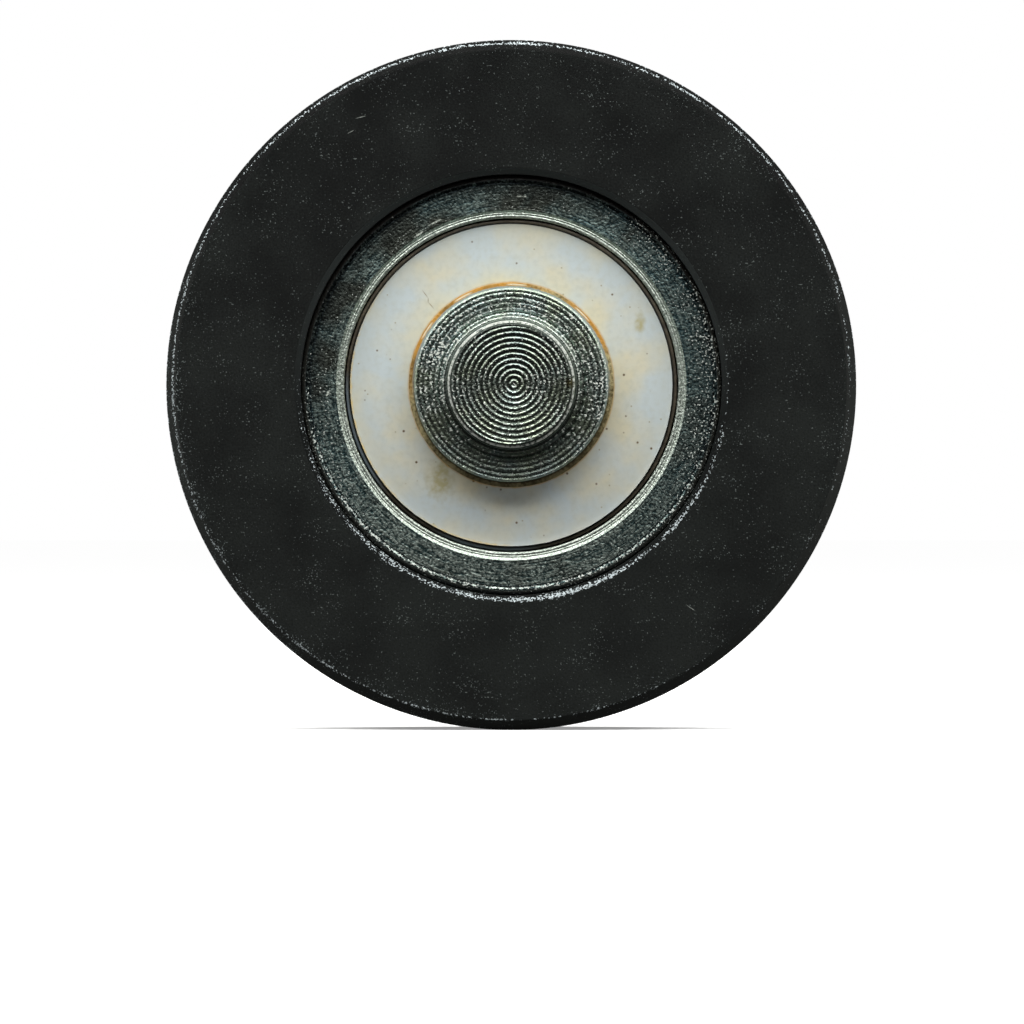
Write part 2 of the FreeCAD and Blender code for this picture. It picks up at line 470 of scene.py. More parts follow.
# %% Wear of the wheel
GROOVE_RADIUS = 1.70
GROOVE_DEPTH = 1.39
BORE_CHAMFER = 0.22
LAND_PITCH, LAND_DEPTH = 0.19, 0.022
LAND_MARGIN, LAND_SOFT = 0.02, 0.06
GROOVE_PITCH, GROOVE_MARK_DEPTH, GROOVE_SOFT = 0.21, 0.007, 0.1
TREAD_SKIN, TREAD_SOFT = 0.03, 0.02
NICK_DEPTH, NICK_WIDTH, NICK_LEVEL = 0.015, 0.06, 0.45
RIM_HIGHLIGHT_WIDTH = 0.055
CORNER_WIDTH = 0.06
MOUTH_LINE, MOUTH_WIDTH, MOUTH_SPARE = 0.14, 0.11, 0.1

groove_centre = wheel_radius - GROOVE_DEPTH + GROOVE_RADIUS
groove_edge = np.arccos((wheel_radius - groove_centre) / GROOVE_RADIUS)
groove_mouth = GROOVE_RADIUS * np.sin(groove_edge)
rim_start = half_width - RIM_CHAMFER
rim_corner = wheel_radius - RIM_CHAMFER
mouth_corner = bearing_radius + BORE_CHAMFER


def on_tread(radius):
    """1 on the wheel's outermost skin, and 0 from TREAD_SKIN below it."""
    return np.clip((radius - wheel_radius + TREAD_SKIN) / TREAD_SOFT, 0, 1)


def wheel_marks(radius, along, angle):
    """Feed marks on the lands and in the groove, and nicks along the rim's edges."""
    low, high = groove_mouth + LAND_MARGIN, rim_start - LAND_MARGIN
    land = on_tread(radius) * within(np.abs(along), low, high, LAND_SOFT)
    cut = land * feed_marks(along, LAND_PITCH, LAND_DEPTH) * (0.4 + 0.6 * uneven(along, 0.11, 4))
    in_groove = within(np.abs(along), -1, groove_mouth, GROOVE_SOFT) * (radius > bearing_radius + 1)
    round_groove = GROOVE_RADIUS * np.arctan2(along, groove_centre - radius)
    furrows = feed_marks(round_groove, GROOVE_PITCH, GROOVE_MARK_DEPTH) * uneven(round_groove, 0.3, 9)
    edge = hump(np.abs(along) - rim_start, NICK_WIDTH) * on_tread(radius)
    nicks = np.clip(wobble(angle, 21, 90) * np.where(along > 0, 1, -1) - NICK_LEVEL, 0, None)
    return cut + in_groove * furrows - NICK_DEPTH * edge * nicks


def wheel_rub(radius, along, angle):
    """Extra wear: the crests of the lands' marks, a line round each rim's chamfer, and the bore's mouth.

    The rim's line is wear and also a painted highlight: it lies past the chamfer's middle above and at its
    inner corner below, where a lamp above lights a rounded edge, and is strongest above. The mouth is
    chipped most below, which is partly painted light, as the chamfer faces the lamp there. The chamfers'
    corners are sheltered, so the wear of their bends is taken off again.
    """
    below = -np.cos(angle)
    crest = 1 + feed_marks(along, LAND_PITCH, 1.0)
    lands = 0.55 * on_tread(radius) * crest**2 * (0.5 + 0.5 * wobble(angle, 5, 40))
    # Painted highlight: the rim's line follows where the lamp's highlight lies on a rounded edge.
    line = rim_corner + RIM_CHAMFER * (0.33 - 0.31 * below)
    highlight_strength = 0.95 - 0.5 * below + 0.1 * below**2 + 0.25 * wobble(angle, 12, 70)
    edge = highlight_strength * hump(radius - line, RIM_HIGHLIGHT_WIDTH) - 0.55 * hump(radius - rim_corner, CORNER_WIDTH)
    chipped = bearing_radius + MOUTH_LINE + 0.045 * np.sin(angle)
    # Partly painted light: more chips below, where the mouth's chamfer faces the lamp.
    mouth = (0.6 + below) * hump(radius - chipped, MOUTH_WIDTH)
    mouth = mouth - 0.6 * hump(radius - mouth_corner, CORNER_WIDTH)
    mouth = mouth - 0.5 * hump(radius - bearing_radius, CORNER_WIDTH)
    at_rim = np.abs(along) > rim_start
    at_mouth = np.abs(along) > half_width - BORE_CHAMFER - MOUTH_SPARE
    return lands + edge * at_rim + mouth * at_mouth


print(f"the groove is {2 * groove_mouth:.2f} mm wide between the lands")

# %% [markdown]
# The outline starts in the groove's bottom and ends in the bore. Its mirror image closes it, so both faces
# of the wheel are the same.

# %% Wheel
EDGE_BREAK = 0.02

wheel_half = np.concatenate([
    arc(groove_centre, GROOVE_RADIUS, np.pi, groove_edge, 52)[:-1],
    runs(
        [
            wheel_radius + 1j * groove_mouth,
            wheel_radius + 1j * rim_start,
            rim_corner + 1j * half_width,
            mouth_corner + 1j * half_width,
            bearing_radius + 1j * (half_width - BORE_CHAMFER),
            bearing_radius + 0j,
        ],
        [34, 14, 40, 10, 10],
    ),
])
wheel_outline = broken_edges(both_sides(wheel_half), EDGE_BREAK)
wheel = turned("turned_wheel", "wheel", wheel_outline, 288, wheel_marks, wheel_rub)
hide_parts("wheel")

# %% [markdown]
# ## Outer race
#
# The bearing's outer ring is ground inside, where the balls run, and rolled over at each end of its bore
# into a lip: a small bevel and two beads. The beads are only a few pixels wide, but they are the brightest
# line in the picture, because their round backs always have some spot that faces the lamp. So they are arcs
# in the outline, not a bump.

# %% Outer race
RACE_BORE_RADIUS = 6.15
RACE_CORNER = 0.225
BEVEL_WIDTH, BEVEL_DEPTH = 0.1, 0.065
OUTER_BEAD, INNER_BEAD = 0.07, 0.135
BEAD_RISE = 0.012
FURROW_DEPTH = 0.015
LIP_DROP = 0.14
RUNNING_CLEARANCE = 0.03
RACEWAY_CONFORMITY = 0.53
RACE_PITCH, RACE_MARK_DEPTH = 0.105, 0.007
RACE_STEP, RACE_STEP_WIDTH = 0.03, 0.06
FACE_BAND = 0.02
MARK_SOFT = 0.05

raceway_radius = RACEWAY_CONFORMITY * 2 * ball_radius
race_groove_centre = pitch_radius + ball_radius + RUNNING_CLEARANCE - raceway_radius
race_groove_edge = np.arccos((RACE_BORE_RADIUS - race_groove_centre) / raceway_radius)
furrow = RACE_BORE_RADIUS + INNER_BEAD
bevel_foot = furrow + OUTER_BEAD
lip = bevel_foot + BEVEL_WIDTH
race_ridge = bearing_radius - RACE_CORNER
race_flat = race_face - RACE_STEP
bead_foot = race_flat - BEVEL_DEPTH
outer_start = bevel_foot + 1j * bead_foot
outer_top = bevel_foot - OUTER_BEAD / 2 + 1j * (bead_foot + BEAD_RISE)
inner_start = furrow + 1j * (bead_foot - FURROW_DEPTH)
inner_top = furrow - INNER_BEAD / 2 + 1j * bead_foot
inner_end = RACE_BORE_RADIUS + 1j * (race_face - LIP_DROP)


def race_marks(radius, along, angle):
    """Uneven feed marks on the ring's flat faces."""
    flat = within(radius, lip + 0.03, race_ridge - RACE_STEP_WIDTH, MARK_SOFT)
    flat = flat * (np.abs(along) > race_flat - FACE_BAND)
    return flat * feed_marks(radius, RACE_PITCH, RACE_MARK_DEPTH) * (0.3 + 0.7 * uneven(radius, 0.08, 3))


race_half = np.concatenate([
    runs([bearing_radius + 0j, bearing_radius + 1j * (race_face - RACE_CORNER)], [6])[:-1],
    arc(race_ridge + 1j * (race_face - RACE_CORNER), RACE_CORNER, 0, np.pi / 2, 12)[:-1],
    runs(
        [
            race_ridge + 1j * race_face,
            race_ridge - RACE_STEP_WIDTH + 1j * race_flat,
            lip + 1j * race_flat,
            outer_start,
        ],
        [5, 36, 8],
    )[:-1],
    arc_through(outer_start, outer_top, inner_start, 10)[:-1],
    arc_through(inner_start, inner_top, inner_end, 12)[:-1],
    runs([inner_end, RACE_BORE_RADIUS + 1j * raceway_radius * np.sin(race_groove_edge)], [8])[:-1],
    arc(race_groove_centre, raceway_radius, race_groove_edge, 0, 24),
])
race_outline = broken_edges(both_sides(race_half), EDGE_BREAK / 2)
outer_race = turned("turned_outer_race", "wheel", race_outline, 320, race_marks)
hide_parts("outer_race")

# %% [markdown]
# ## Spindle
#
# The spindle is one turned piece: a raceway between two shoulders, and a stub on each side. Its end faces
# were turned from the rim to the middle, and the tool left a spiral that reads as rings a fifth of a
# millimetre apart, a little off centre because the bar ran untrue in the chuck. The ridges lean: they rise
# slowly outwards and fall fast. That is why the rings shine thick below the middle and thin above it.

# %% Marks of the spindle
SHOULDER_PROUD = 0.33
SHOULDER_EDGE = 0.07
STUB_CHAMFER = 0.20
STUB_ROOT_RADIUS = 0.10
RING_PITCH, RING_DEPTH, RING_LEAN = 0.195, 0.038, 0.6
RING_OFFSET = 0.10
SHOULDER_RING_PITCH, SHOULDER_RING_DEPTH = 0.19, 0.034
CHAMFER_FURROW, CHAMFER_FURROW_WIDTH = 0.045, 0.03
CHATTER_COUNT, CHATTER_DEPTH = 48, 0.02
CHATTER_START, CHATTER_END, CHATTER_SOFT = 0.12, 0.5, 0.1

shoulder_face = half_width + SHOULDER_PROUD


def spindle_marks(radius, along, angle):
    """Rings on the ends, about a centre off the axis, rings on the shoulders, and a furrow in the chamfers.

    The tool chattered on the shoulders, which left a row of short radial marks on one side of each stub.
    """
    far = np.abs(along)
    at_end = within(radius, -1, stub_radius - STUB_CHAMFER, MARK_SOFT) * (far > stub_end - FACE_BAND)
    from_middle = np.hypot(radius * np.sin(angle) - RING_OFFSET, radius * np.cos(angle))
    rings = at_end * feed_marks(from_middle, RING_PITCH, RING_DEPTH, RING_LEAN)
    rings = rings * (0.75 + 0.25 * uneven(from_middle, 0.2, 8))
    inner, outer = stub_radius + STUB_ROOT_RADIUS, shoulder_radius - SHOULDER_EDGE
    at_shoulder = np.abs(far - shoulder_face) < FACE_BAND
    at_shoulder = at_shoulder * within(radius, inner, outer, MARK_SOFT)
    fine = feed_marks(radius, SHOULDER_RING_PITCH, SHOULDER_RING_DEPTH) * (0.4 + 0.6 * uneven(radius, 0.1, 6))
    chatter = CHATTER_DEPTH * (0.5 + 0.5 * np.cos(CHATTER_COUNT * angle + 9 * radius))
    chatter = chatter * within(radius, stub_radius + CHATTER_START, stub_radius + CHATTER_END, CHATTER_SOFT)
    chatter = chatter * np.clip(np.sin(angle - 0.3), 0, 1)
    on_chamfer = far > stub_end - STUB_CHAMFER
    furrow = CHAMFER_FURROW * hump(radius - stub_radius + STUB_CHAMFER / 2, CHAMFER_FURROW_WIDTH)
    return rings + at_shoulder * (fine - chatter) - on_chamfer * furrow


print(f"{(stub_radius - STUB_CHAMFER) / RING_PITCH:.0f} rings on each end of the spindle")

# %% [markdown]
# The spindle's outline is open: it starts and ends on the axis. The end faces need a point at least every
# tenth of a ring, and the rest gets by with few.

# %% Spindle
spindle_groove_centre = pitch_radius - ball_radius - RUNNING_CLEARANCE + raceway_radius
spindle_groove_edge = np.arccos((shoulder_radius - spindle_groove_centre) / raceway_radius)
root = stub_radius + STUB_ROOT_RADIUS + 1j * (shoulder_face + STUB_ROOT_RADIUS)
spindle_half = np.concatenate([
    arc(spindle_groove_centre, raceway_radius, np.pi, spindle_groove_edge, 20)[:-1],
    runs(
        [
            shoulder_radius + 1j * raceway_radius * np.sin(spindle_groove_edge),
            shoulder_radius + 1j * (shoulder_face - SHOULDER_EDGE),
            shoulder_radius - SHOULDER_EDGE + 1j * shoulder_face,
            root.real + 1j * shoulder_face,
        ],
        [10, 6, 40],
    )[:-1],
    arc(root, STUB_ROOT_RADIUS, -np.pi / 2, -np.pi, 8)[:-1],
    runs(
        [
            stub_radius + 1j * root.imag,
            stub_radius + 1j * (stub_end - STUB_CHAMFER),
            stub_radius - STUB_CHAMFER + 1j * stub_end,
        ],
        [12, 16],
    )[:-1],
    np.linspace(stub_radius - STUB_CHAMFER, 0, 88) + 1j * stub_end,
])
spindle_outline = np.concatenate([np.conj(spindle_half[::-1]), spindle_half[1:]])
spindle_outline = broken_edges(spindle_outline, EDGE_BREAK, closed=False)
spindle = turned("turned_spindle", "spindle", spindle_outline, 240, spindle_marks, closed=False)
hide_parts("spindle")

# %% [markdown]
# ## Nylon faces
#
# The retainer is moulded, and nylon shrinks as it cools. Its thick middle draws in more than its edges, so
# the face that was flat in the mould ends as a very shallow dish, whose rim and bore stand up by less than
# a tenth of a millimetre. That is far too little to measure on a drawing, but the light shows it: the rim
# is dark above and bright below. So each face gets a thin skin of its own, which lies on the retainer and
# turns with it.

# %% Nylon faces
RETAINER_BORE_RADIUS = 3.75
BORE_SPARE = 0.005
RIM_SPARE = 0.002
BORE_RISE = 0.075
RIM_RISE, RIM_POWER = 0.055, 14
FACE_LIFT = 0.006
FLOW_DEPTH = 0.004
SKIN_ROOT = 0.03


def flow_marks(radius, along, angle):
    """Faint waves that the molten nylon left round the ring."""
    return -FLOW_DEPTH * (0.5 + 0.5 * wobble(angle + 0.1 * radius, 31, 12))


def sunk_face(count):
    """The dish's outline: a lift, plus BORE_RISE (1 - u)^2 + RIM_RISE u^RIM_POWER, u being 0 at the bore."""
    u = (1 + np.cos(np.linspace(0, np.pi, count))) / 2
    inner, outer = RETAINER_BORE_RADIUS - BORE_SPARE, retainer_rim - RIM_SPARE
    rise = FACE_LIFT + BORE_RISE * (1 - u) ** 2 + RIM_RISE * u**RIM_POWER
    skin = inner + (outer - inner) * u + 1j * (retainer_face + rise)
    root = 1j * (retainer_face - SKIN_ROOT)
    return np.concatenate([[outer + root], skin, [inner + root]])


nylon_faces = []
for end, outline in (("rear", sunk_face(40)), ("front", np.conj(sunk_face(40)[::-1]))):
    face = turned(f"nylon_face_{end}", "retainer", broken_edges(outline, EDGE_BREAK / 2), 240, flow_marks)
    nylon_faces.append(face)

# %% [markdown]
# ## Rust and grime
#
# Years outdoors have filled the roller's two narrow gaps. Rust has grown on the shoulder where the retainer
# keeps it damp, and its crust has crept out over the nylon's edge. Black grease has packed between the
# retainer and the race. All are thin lumpy rings, made as small ovals turned about the spindle with random
# lumps. Each stays a hair clear of the piece that turns past it.

# %% Rust and grime
CREVICE_GAP = 0.015
RUST_GAP = 0.01
RUST_SEAT, GRIME_SEAT = 0.02, 0.01
CRUST_GAP, CRUST_THICKNESS, CRUST_OVERHANG = 0.011, 0.07, 0.025
OVAL_POINTS, OVAL_STEPS = 20, 240


def oval(inner, outer, near, far, count):
    """A closed outline between two radii and two distances along the spindle: an oval with full shoulders.

    Each coordinate is the root of the size of a cosine or a sine, with its sign, times half the width.
    """
    t = np.arange(count) * 2 * np.pi / count
    across, up = np.cos(t), np.sin(t)
    across, up = np.sign(across) * np.sqrt(np.abs(across)), np.sign(up) * np.sqrt(np.abs(up))
    height = (near + far) / 2 + (far - near) / 2 * up
    return (inner + outer) / 2 + (outer - inner) / 2 * across + 1j * height


def lumps(seed, depth):
    """A function that sinks a skin by up to depth, in random lumps that run on round the axis."""

    def sunk(radius, along, angle):
        """-depth times a level from 0 to 1: a closed curve, and another that is carried on by the outline."""
        turn = np.arctan2(along - along.mean(), radius - radius.mean())
        carried = wobble(angle + 0.15 * turn, seed + 1, 60)
        return -depth * (0.5 + 0.25 * wobble(angle, seed, 36) + 0.25 * carried)

    return sunk


crust_foot = retainer_face + FACE_LIFT + BORE_RISE + CRUST_GAP
crust_top = crust_foot + CRUST_THICKNESS
crust_edge = RETAINER_BORE_RADIUS + CRUST_OVERHANG
rust_root = shoulder_radius - RUST_SEAT
rust_edge = RETAINER_BORE_RADIUS - RUST_GAP
rust_foot, rust_top = retainer_face - 0.3, retainer_face + 0.08
grime_root = retainer_rim - GRIME_SEAT
grime_edge = RACE_BORE_RADIUS - CREVICE_GAP
grime_foot, grime_top = retainer_face - 0.75, retainer_face - 0.1
bore_root = RETAINER_BORE_RADIUS + GRIME_SEAT
bore_edge = shoulder_radius + CREVICE_GAP
race_root = RACE_BORE_RADIUS + GRIME_SEAT
race_edge = retainer_rim + CREVICE_GAP
rust_rings, grime_rings = [], []
# The two greases lie behind the other rings, on the other wall, and close the line of sight past them. A
# row holds a list, a name, a body, two radii, two distances from the mid-plane, and the lumps' depth
crevices = (
    (rust_rings, "crevice_rust", "spindle", rust_root, rust_edge, rust_foot, rust_top, 0.015),
    (rust_rings, "rust_crust", "spindle", rust_root, crust_edge, crust_foot, crust_top, 0.012),
    (grime_rings, "packed_grime", "retainer", grime_root, grime_edge, grime_foot, grime_top, 0.05),
    (grime_rings, "bore_grease", "retainer", bore_edge, bore_root, 1.35, 1.75, 0.02),
    (grime_rings, "race_grease", "wheel", race_edge, race_root, 1.2, 1.4, 0.01),
)
for end, facing in (("front", -1), ("rear", 1)):
    for rings, kind, body, inner, outer, low, high, depth in crevices:
        name = f"{kind}_{end}"
        near, far = sorted((facing * low, facing * high))
        outline = oval(inner, outer, near, far, OVAL_POINTS)
        rings.append(turned(name, body, outline, OVAL_STEPS, lumps(sum(map(ord, name)), depth)))

# %% [markdown]
# ## Patterns that the finishes share
#
# A texture's Scale counts cells in a metre, so every size below goes through one division and can be read
# in millimetres. Turned metal has streaks that run round the axis. Noise in four dimensions makes them
# without a seam: three places go round a circle with the angle, slowly, and the fourth crosses the furrows,
# fast.

# %% Shared patterns
NOTES = ("wear", "facing", "sunk")
STREAK_SLANT = 0.6


def cells(size):
    """How many cells of a size in mm fit in a metre, which is what a texture's Scale asks for."""
    return 1 / (size * MM)


def lathe_places(node):
    """A point's place, its place across the axis, and its distance from the axis in mm."""
    place = node("TexCoord").outputs["Object"]
    across = node("VectorMath MULTIPLY", (place, (1, 0, 1)))
    radius = node("VectorMath LENGTH", (across,)).outputs["Value"]
    return place, across, node("Math MULTIPLY", (radius, 1 / MM))


def streaks(node, place, across, radius, turn, pitch):
    """Streaks turn radians long and pitch mm apart: noise at (direction / turn, (r + slant y) / pitch)."""
    direction = node("VectorMath NORMALIZE", (across,))
    slow = node("VectorMath SCALE", {0: direction, "Scale": 1 / turn})
    along = node("SeparateXYZ", (place,)).outputs["Y"]
    fast = node("Math MULTIPLY_ADD", (along, STREAK_SLANT / MM, radius))
    fast = node("Math MULTIPLY", (fast, 1 / pitch))
    return node("TexNoise", {"Vector": slow, "W": fast, "Scale": 1.0, "Detail": 2.0}, noise_dimensions="4D")


def clock(node, across, hours, least, most):
    """1 towards an hour of the front's clock face and 0 away from it, between two cosines of the angle."""
    angle = hours * np.pi / 6
    direction = node("VectorMath NORMALIZE", (across,))
    hand = (np.sin(angle), 0, np.cos(angle))
    cosine = node("VectorMath DOT_PRODUCT", (direction, hand)).outputs["Value"]
    return node("MapRange", (cosine, least, most))


def blur(node, place, x, z, width, height, turn=0.0):
    """A soft spot on the faces: 1 at (x, z) in mm and 0 outside an oval of a width and a height, turned."""
    shift = node("VectorMath SUBTRACT", (place, (x * MM, 0, z * MM)))
    level = node("VectorRotate", {"Vector": shift, "Angle": turn}, rotation_type="Y_AXIS")
    stretched = node("VectorMath MULTIPLY", (level, (2 / (width * MM), 0, 2 / (height * MM))))
    distance = node("VectorMath LENGTH", (stretched,)).outputs["Value"]
    return node("MapRange", (distance, 1.0, 0.2))


def specks(node, place, spacing, size, share):
    """Round dots: 1 within about size / 2 of a cell's random centre, in a share of cells spacing apart."""
    cell = node("TexVoronoi", {"Vector": place, "Scale": cells(spacing)})
    dot = node("MapRange", (cell.outputs["Distance"], 0.6 * size / spacing, 0.3 * size / spacing))
    lot = node("SeparateColor", (cell.outputs["Color"],))
    return node("Math MULTIPLY", (dot, node("Math LESS_THAN", (lot, share))))


def surface(material, node, **sockets):
    """The material's Principled shader, with its sockets named with underscores for spaces."""
    inputs = {name.replace("_", " "): value for name, value in sockets.items()}
    node("OutputMaterial", {"Surface": node("BsdfPrincipled", inputs)})
    print(f"{material.name}: {len(material.node_tree.nodes)} nodes")


# %% [markdown]
# ## Black oxide steel
#
# The wheel's steel was blackened in a hot salt bath, which turns its skin to a thin black oxide. That skin
# looks like soft charcoal, painted a little darker above and paler below, as shade and light. Its crystals
# are a few thousandths of a millimetre across, too fine for a pixel, so the noises draw them about two
# pixels wide. The chamfers get painted shade and light too: the rim's is darker above and paler below,
# and the bore's is paler above, where it faces away from the lamp.

# %% Black oxide
SLANT, SLANT_SPREAD = 0.71, 0.2

black_oxide, node = new_material("black_oxide_turned_steel")
place, across, radius = lathe_places(node)
along = node("SeparateXYZ", (place,)).outputs["Y"]
from_middle = node("Math ABSOLUTE", (along,))
wear, facing, sunk = (node("Attribute", attribute_name=note).outputs["Fac"] for note in NOTES)
blotch, tooth, cluster, grit, chips, powder = (
    node("TexNoise", {"Vector": place, "Scale": cells(size), "Detail": detail})
    for size, detail in ((2.4, 3), (0.075, 2), (1.3, 2), (0.055, 1), (0.07, 1), (0.06, 0))
)
shade = node("MapRange", (node("Math MULTIPLY", (blotch, tooth)), 0.12, 0.38))
# Painted shade and light: the oxide is lowered above and lifted below, against the lamp's fall.
painted_shade_above_light_below = node("MapRange", (clock(node, across, 6, -0.9, 0.9), 0, 1, -0.2, 0.2))
shade = node("Math ADD", (shade, painted_shade_above_light_below), use_clamp=True)
oxide = node("Mix", (shade, "#0b0d0c", "#1f2220"))
slanted = node("Math COMPARE", (facing, SLANT, SLANT_SPREAD))
# Painted shade and light on the chamfers: the bore's chamfer is paler above, where it faces away from the
# lamp, and the rim's chamfer is darker above, where the lamp lights it, and paler below.
above = clock(node, across, 12, -0.2, 0.6)
mouth = node("Mix", (above, "#121413", "#383c3b"))
rim = node("Mix", (above, "#303230", "#0b0c0b"))
outside = node("MapRange", (radius, 11.0, 12.0))
chamfer = node("Mix", (outside, mouth, rim))
oxide = node("Mix", (slanted, oxide, chamfer))
print("oxide of", len(black_oxide.node_tree.nodes), "nodes")

# %% [markdown]
# Grains of dust and bare steel show on the oxide as pale dots in loose clusters, more of them near the rim,
# and edges and crests rub through to bright metal. A noise above a limit gives the dots, and everything
# that makes them more likely is added to the noise first. The attribute wear says where the edges are.

# %% Flecks and scratches
SCRATCHES = (
    (-5.53, 9.84, 0.55, 0.05, 0.25),
    (-5.9, 9.3, 0.4, 0.04, 0.5),
    (6.6, -8.2, 0.6, 0.04, -0.6),
)

tread = node("MapRange", (from_middle, rim_start * MM, (rim_start - 0.06) * MM))
likely = node("Math MULTIPLY_ADD", (cluster, 0.3, node("Math MULTIPLY", (tread, -0.5))))
dust = node("MapRange", (node("Math ADD", (likely, powder)), 0.9, 1.02))
near_rim = node("MapRange", (radius, 11.3, 12.4, 0, 0.05))
on_face = node("Math GREATER_THAN", (facing, 0.9))
likely = node("Math MULTIPLY_ADD", (near_rim, on_face, likely))
scatter = node("MapRange", (radius, 11.7, 12.4, 0, 0.1))
likely = node("Math MULTIPLY_ADD", (scatter, clock(node, across, 7.5, 0.1, 0.9), likely))
likely = node("Math MULTIPLY_ADD", (wear, 0.22, likely))
bare = node("MapRange", (wear, 0.1, 0.5))
flecks = node("Math ADD", (likely, node("Mix", (bare, grit, chips))))
flecks = node("MapRange", (flecks, 0.93, 1.0))
bright = node("Math MULTIPLY", (bare, node("MapRange", (grit, 0.3, 0.6))))
colour = node("Mix", (dust, oxide, "#5f6562"))
colour = node("Mix", (flecks, colour, node("Mix", (bright, "#727a79", "#ccd6d8"))))
front = node("Math LESS_THAN", (along, (FACE_BAND - half_width) * MM))
for x, z, width, height, turn in SCRATCHES:
    scratch = node("Math MULTIPLY", (blur(node, place, x, z, width, height, turn), grit))
    scratch = node("Math MULTIPLY", (node("MapRange", (scratch, 0.15, 0.5)), front))
    colour = node("Mix", (scratch, colour, "#8d928c"))
print(len(SCRATCHES), "scratches on the front")

# %% [markdown]
# The tread runs on the track, which keeps it polished: there it is metal with streaks that follow the
# turning, dirt in the furrows, crests rubbed pale, and a brown line where the track's bead runs in the
# groove's bottom.

# %% Tread
lines = streaks(node, place, across, radius, 0.25, 0.09)
dashes = streaks(node, place, across, radius, 0.08, 0.06)
furrow = node("MapRange", (sunk, 0.002, 0.012, 0, 0.85))
sheen = node("Mix", (furrow, node("Mix", (lines, "#15191b", "#373f43")), "#040505"))
land = node("MapRange", (from_middle, (groove_mouth + 0.04) * MM, (groove_mouth + 0.12) * MM))
land = node("Math MULTIPLY", (land, tread))
crest = node("Math MULTIPLY_ADD", (node("Math MINIMUM", (wear, 0.6)), 0.2, dashes))
rubbed = node("MapRange", (node("Math MULTIPLY_ADD", (grit, 0.3, crest)), 0.84, 0.94))
rubbed = node("Math MULTIPLY", (rubbed, land))
track = node("Math MULTIPLY", (node("MapRange", (from_middle, 0.18 * MM, 0.04 * MM)), lines))
track = node("MapRange", (track, 0.4, 0.7, 0, 0.7))
for cover, coat in ((tread, sheen), (rubbed, "#98a2a4"), (track, "#3a2a1a")):
    colour = node("Mix", (cover, colour, coat))
dull = node("MapRange", (tooth, 0.3, 0.7, 0.6, 0.78))
shiny = node("MapRange", (lines, 0.3, 0.7, 0.17, 0.36))
rough = node("Math MULTIPLY_ADD", (slanted, 0.3, node("Mix", (tread, dull, shiny))), use_clamp=True)
height = node("Math MULTIPLY", (node("Math MULTIPLY_ADD", (grit, 0.4, lines)), tread))
height = node("Math MULTIPLY_ADD", (tooth, 0.4, height))
bump = node("Bump", {"Strength": 1.0, "Distance": 0.02 * MM, "Height": height})
metal = node("Math SUBTRACT", (tread, rubbed))
looks = {"Base_Color": colour, "Metallic": metal, "Roughness": rough, "Normal": bump}
surface(black_oxide, node, **looks, Specular_IOR_Level=0.12)
wheel.data.materials.append(black_oxide)

# %% [markdown]
# ## Bearing steel of the race
#
# The race is bare hardened steel, turned on its face and dulled by years of damp. To the eye it is bluish
# metal over streaks that follow the turning, olive below, with stains and painted shade at the top, darker
# towards its outer edge except below, and with a dark line beside its outer step. Its rolled lip is paler,
# and its outer corner is packed with dirt, which is painted darker at the top, as shade.

# %% Race steel
race_steel, node = new_material("turned_bearing_steel")
place, across, radius = lathe_places(node)
lines = streaks(node, place, across, radius, 0.25, 0.08)
grain, grit, stain, chips = (
    node("TexNoise", {"Vector": place, "Scale": cells(size), "Detail": detail})
    for size, detail in ((0.085, 2), (0.07, 0.5), (1.5, 2), (0.1, 1))
)
tone = node("MapRange", (node("Math ADD", (lines, grain)), 0.82, 1.18))
blue = node("Mix", (tone, "#4b6669", "#9aada6"))
olive = node("Mix", (tone, "#4f6362", "#adb9af"))
below = clock(node, across, 6, 0.1, 0.9)
shaded = node("Math MULTIPLY", (clock(node, across, 3, 0.3, 0.9), 0.4))
# Painted shade: the race is darkened towards the top, where the wheel's bore shadows it.
painted_shade_top = clock(node, across, 11.0, 0.2, 0.85)
stain_and_painted_shade = node("MapRange", (node("Math MULTIPLY_ADD", (painted_shade_top, 0.28, stain)), 0.5, 0.8, 0, 0.85))
outer = node("MapRange", (radius, 6.7, 7.4, 0, 0.45))
dark = node("Math MULTIPLY", (outer, node("MapRange", (below, 0, 1, 1, 0))))
step = node("Math COMPARE", (radius, race_ridge - RACE_STEP_WIDTH - 0.05, 0.03))
dark = node("Math MAXIMUM", (dark, node("Math MULTIPLY", (step, 0.75))))
rolled = node("MapRange", (radius, lip + 0.01, lip - 0.02))
ivory = node("Mix", (node("MapRange", (grain, 0.35, 0.65)), "#949e93", "#cbd3c8"))
corner = node("MapRange", (radius, race_ridge + 0.02, race_ridge + 0.08))
# The packed dirt in the corner is painted darker at the top, as shade.
packed_dirt_and_painted_shade = node("Mix", (clock(node, across, 12, -0.2, 0.6), "#30312c", "#201e1b"))
ridge = node("Math COMPARE", (radius, race_ridge - 0.02, 0.07))
gaps = node("Math MULTIPLY", (node("MapRange", (chips, 0.58, 0.48, 0, 0.9)), ridge))
coats = (below, olive), (shaded, "#2c393b"), (stain_and_painted_shade, "#45433a"), (dark, "#202a30")
coats += (rolled, ivory), (corner, packed_dirt_and_painted_shade), (gaps, "#14181a")
colour = blue
for cover, coat in coats:
    colour = node("Mix", (cover, colour, coat))
print(len(coats), "coats on the race")

# %% [markdown]
# Pale crystals and scuffs are sprinkled over the race. On the ridge at its outer edge more are put below,
# which is painted light, and fewer lie at the top outside, which is painted shade.
# They are drawn coarser than they are, like the oxide's, and they are dull, so where they lie the surface
# is no metal.

